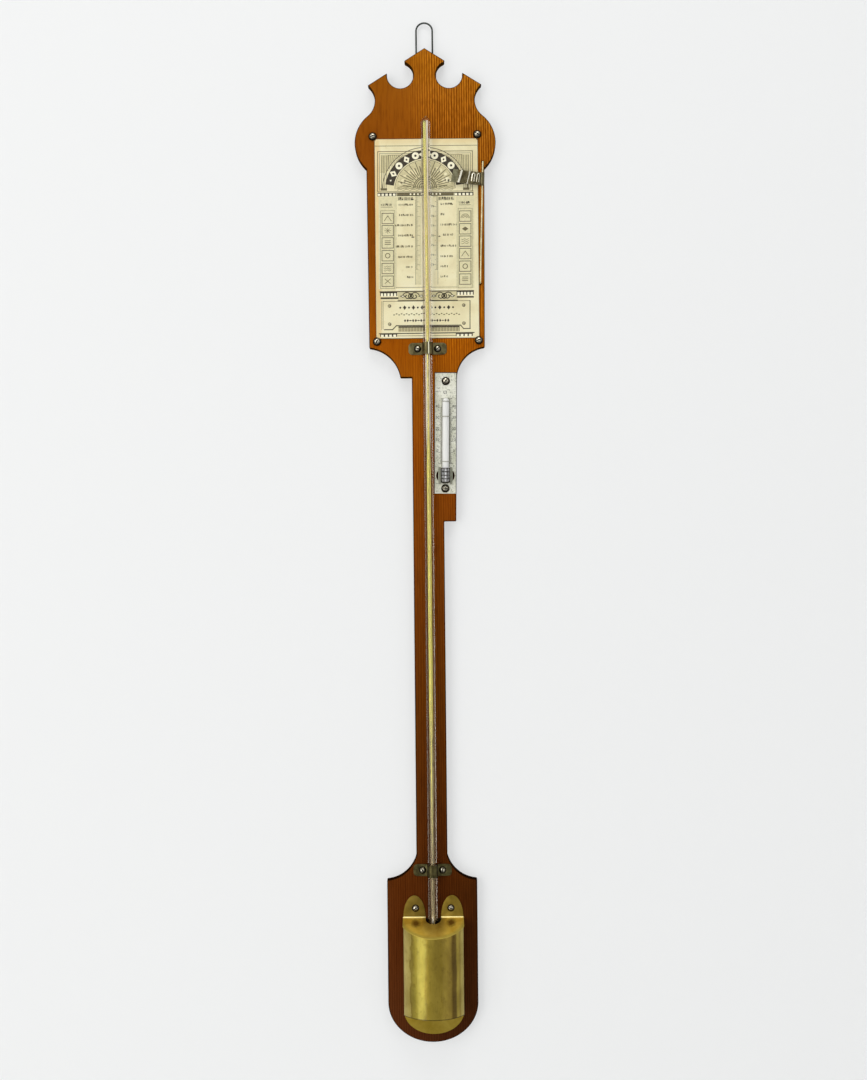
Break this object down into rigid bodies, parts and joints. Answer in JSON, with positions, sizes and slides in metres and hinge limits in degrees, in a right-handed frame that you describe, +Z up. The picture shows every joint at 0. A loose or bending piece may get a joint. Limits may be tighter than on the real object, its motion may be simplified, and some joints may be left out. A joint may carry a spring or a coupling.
{
  "type": "stick barometer",
  "caption": "Long wall-hung stick barometer: shaped wooden board with a siphon mercury tube, printed scale, sliding index, small thermometer, brass cistern cover and wire loop.",
  "frame": {"origin": "hanging point: in the wall plane, level with the inside top of the wire loop, on the board's centre line", "axes": "+Z up along the board, +Y into the wall, so the front faces -Y; +X to the right as seen from the front"},
  "size_m": [0.1454, 0.0421, 1.0539],
  "materials": {
    "wood": "varnished oak, orange brown above and dark red brown below",
    "card": "matt aged card",
    "paper": "matt yellowed print",
    "glass": "clear polished",
    "enamel": "glossy yellow enamel",
    "mercury": "mirror bright liquid",
    "felt": "matt felt",
    "cork": "matt cork and leather",
    "clip_brass": "dark patinated brass",
    "cover_brass": "satin aged brass",
    "roof_brass": "satin orange gold brass",
    "screw_brass": "polished domes with dark slots",
    "scale_metal": "worn silvered plate",
    "guard_metal": "dull bright wire grille",
    "index_brass": "dark brass leaf",
    "rod_metal": "bright brass wire",
    "hanger_steel": "dark oiled steel"
  },
  "bodies": {
    "board": {"backboard": "wood", "scale_card": "card", "scale_paper": "paper", "scale_screws": "screw_brass", "barometer_tube": "glass", "tube_enamel_stripe": "enamel", "mercury_pool": "mercury", "mercury_column": "mercury", "bulb_stopper": "cork", "bulb_cushion": "felt", "tube_pads": "felt", "upper_tube_clip": "clip_brass", "lower_tube_clip": "clip_brass", "clip_screws": "screw_brass", "cistern_backplate": "cover_brass", "cistern_shell": "cover_brass", "cistern_roof": "roof_brass", "cistern_floor": "cover_brass", "cistern_screws": "screw_brass", "thermometer_plate": "scale_metal", "thermometer_tube": "glass", "thermometer_liquid": "mercury", "thermometer_staples": "guard_metal", "bulb_guard": "guard_metal", "thermometer_screws": "screw_brass", "index_rod": "rod_metal", "hanger_bracket": "hanger_steel", "hanger_screws": "hanger_steel"},
    "meniscus": {"mercury_meniscus": "mercury"},
    "index_slider": {"index_sleeve": "index_brass"},
    "index_leaf": {"index_pointer": "index_brass"},
    "hanger": {"hanging_loop": "hanger_steel"}
  },
  "joints": [
    {"name": "hanger_swing", "type": "hinge", "parent": "board", "child": "hanger", "pos_m": [0, -0.0021, -0.048], "axis": [-1, 0, 0], "range_deg": [0, 165]},
    {"name": "index_slide", "type": "slide", "parent": "board", "child": "index_slider", "axis": [0.0294, 0, 0.9996], "range_m": [-0.097, 0.009]},
    {"name": "index_swing", "type": "hinge", "parent": "index_slider", "child": "index_leaf", "pos_m": [0.05854, -0.0142, -0.16409], "axis": [0.0294, 0, 0.9996], "range_deg": [-4, 110]},
    {"name": "mercury_level", "type": "slide", "parent": "board", "child": "meniscus", "axis": [0, 0, 1], "range_m": [-0.045, 0.035], "stiffness_N_per_m": 1, "deforming": ["mercury_column"]}
  ]
}
